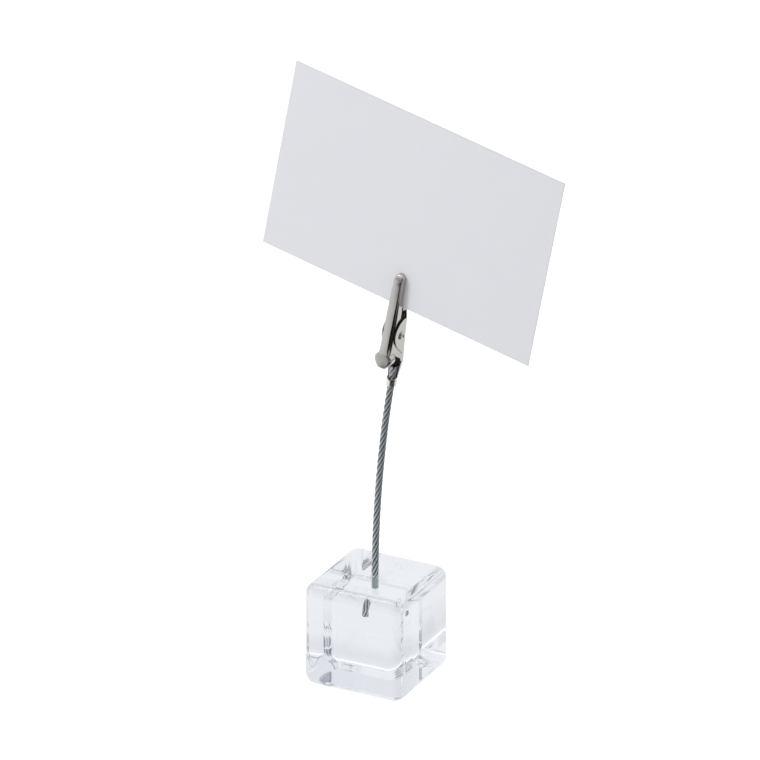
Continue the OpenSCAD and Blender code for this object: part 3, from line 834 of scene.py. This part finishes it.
rise = np.radians(np.linspace(0, 90, dome_steps + 1))
head = np.stack([
    rivet_head_r - dome_share * rivet_head_r * (1 - np.cos(rise)),
    ear_half + rivet_head_h * np.sin(rise),
], axis=-1)
dimple = np.array([
    [dimple_r + dimple_rim_w, head_top],
    [dimple_r + dimple_lip_w, head_top - dimple_rim_drop],
    [dimple_r, head_top - dimple_lip_drop],
    [0.85 * dimple_r, ear_half + 0.45 * rivet_head_h],
    [0.5 * dimple_r, ear_half + 0.34 * rivet_head_h],
    [0.04 * dimple_r, ear_half + 0.3 * rivet_head_h],
])
under_head = [[rivet_shank_r, ear_half - head_sunk], [rivet_head_r, ear_half - head_sunk]]
right_side = np.concatenate([under_head, head, dimple])
profile = np.concatenate([(right_side * [1, -1])[::-1], right_side])
rings, faces = lathe(profile, rivet_sides)
rivet = mesh_object("rivet", in_clip(rings.reshape(-1, 3)), faces, [nickel])
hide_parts("pivot_rivet")
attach(rivet, "stand")

# Torsion spring
# Hard-drawn wire coiled round the rivet between the ears. One leg rests in the rear jaw's web,
# the other in the lever's, and turns with it.
spring_wire_r = 0.2 * mm
spring_r = rivet_shank_r + 2 * spring_wire_r
spring_pitch = 2.12 * 2 * spring_wire_r
spring_turns = 2.5
spring_leg = 4.4 * mm
spring_half_w = spring_turns * spring_pitch / 2
moving_turns = 0.25
web_gap = 0.05 * mm
turn_steps = 40
leg_points = 14
leg_bend_share = 0.35
spring_sides = 12
leg_top = np.array([2 * spring_wire_r - spring_leg])
rear_leg_y = along_rows(lower_rows, leg_top, 2)[0] - sheet_t - spring_wire_r - web_gap
front_leg_y = -along_rows(upper_rows, leg_top, 2)[0] + sheet_t + spring_wire_r + web_gap


def coil(start, end):
    """Middle line of the coil between two numbers of turns."""
    turns = np.linspace(start, end, int(turn_steps * (end - start)) + 1)
    angle = 2 * np.pi * turns
    along = -spring_half_w + spring_pitch * turns
    return np.stack([along, spring_r * np.cos(angle), spring_r * np.sin(angle)], axis=-1)


def leg(start, end):
    """A leg that leaves the coil downwards and bends into line with the web it rests in."""
    t = np.linspace(0, 1, leg_points)[:, None]
    bend = np.array([0, 0, -leg_bend_share]) * spring_leg
    return (
        (1 - t) ** 3 * start + 3 * (1 - t) ** 2 * t * (start + bend)
        + 3 * (1 - t) * t ** 2 * (end - bend) + t ** 3 * end
    )


spring_steel, spring_out = new_material("hard_drawn_spring_wire")
tree = spring_steel.node_tree
spring_grain = 0.3 * mm
place = add_node(tree, "TexCoord").outputs["Object"]
grain = add_node(tree, "TexNoise", {"Vector": place, "Scale": 1 / spring_grain, "Detail": 3.0})
rough = add_node(tree, "MapRange", {"Value": grain.outputs["Fac"], "To Min": 0.25, "To Max": 0.4})
shader = add_node(tree, "BsdfPrincipled", {
    "Base Color": linear("#8d8f90"),
    "Metallic": 1.0,
    "Roughness": rough.outputs["Result"],
})
tree.links.new(shader.outputs[0], spring_out.inputs["Surface"])

rear_end = np.array([-spring_half_w, rear_leg_y, -spring_leg])
front_end = np.array([spring_half_w, front_leg_y, -spring_leg])
fixed_coil = coil(0, spring_turns - moving_turns)
moving_coil = coil(spring_turns - moving_turns, spring_turns)
wires = {
    "spring_coil": (np.concatenate([leg(fixed_coil[0], rear_end)[::-1], fixed_coil[1:]]), "stand"),
    "spring_lever_leg": (np.concatenate([moving_coil, leg(moving_coil[-1], front_end)[1:]]), "lever_jaw"),
}
for name, (path, body) in wires.items():
    points, faces = tube(path, spring_wire_r, np.tile([1.0, 0, 0], (len(path), 1)), spring_sides)
    wire = mesh_object(name, in_clip(points), faces, [spring_steel])
    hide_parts("torsion_spring")
    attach(wire, body)

# Card
# A plain sheet of smooth white card stock, cut to size, with faintly softened edges.
card, card_out = new_material("smooth_white_card")
tree = card.node_tree
fibre_size = 0.8 * mm
fibre_depth = 0.02 * mm
cloud_size = 9 * mm
edge_softness = 0.05 * mm
place = add_node(tree, "TexCoord").outputs["Object"]
fibres = add_node(tree, "TexNoise", {"Vector": place, "Scale": 1 / fibre_size, "Detail": 6.0,
                                     "Roughness": 0.65})
relief = add_node(tree, "Bump", {"Strength": 0.12, "Distance": fibre_depth, "Height": fibres.outputs["Fac"]})
cloud = add_node(tree, "TexNoise", {"Vector": place, "Scale": 1 / cloud_size, "Detail": 3.0})
tone = add_node(tree, "ValToRGB", {"Fac": cloud.outputs["Fac"]})
tone.color_ramp.elements[0].color = linear("#eaebee")
tone.color_ramp.elements[1].color = linear("#eeeef1")
shader = add_node(tree, "BsdfPrincipled", {
    "Base Color": tone.outputs["Color"],
    "Roughness": 0.62,
    "Normal": relief.outputs["Normal"],
})
tree.links.new(shader.outputs[0], card_out.inputs["Surface"])
place_card = frame["nodes"]["place_card"]
place_card.data.materials.clear()
place_card.data.materials.append(card)
softened = place_card.modifiers.new("cut_edges", "BEVEL")
softened.width = edge_softness
softened.segments = 2
softened.limit_method = "ANGLE"
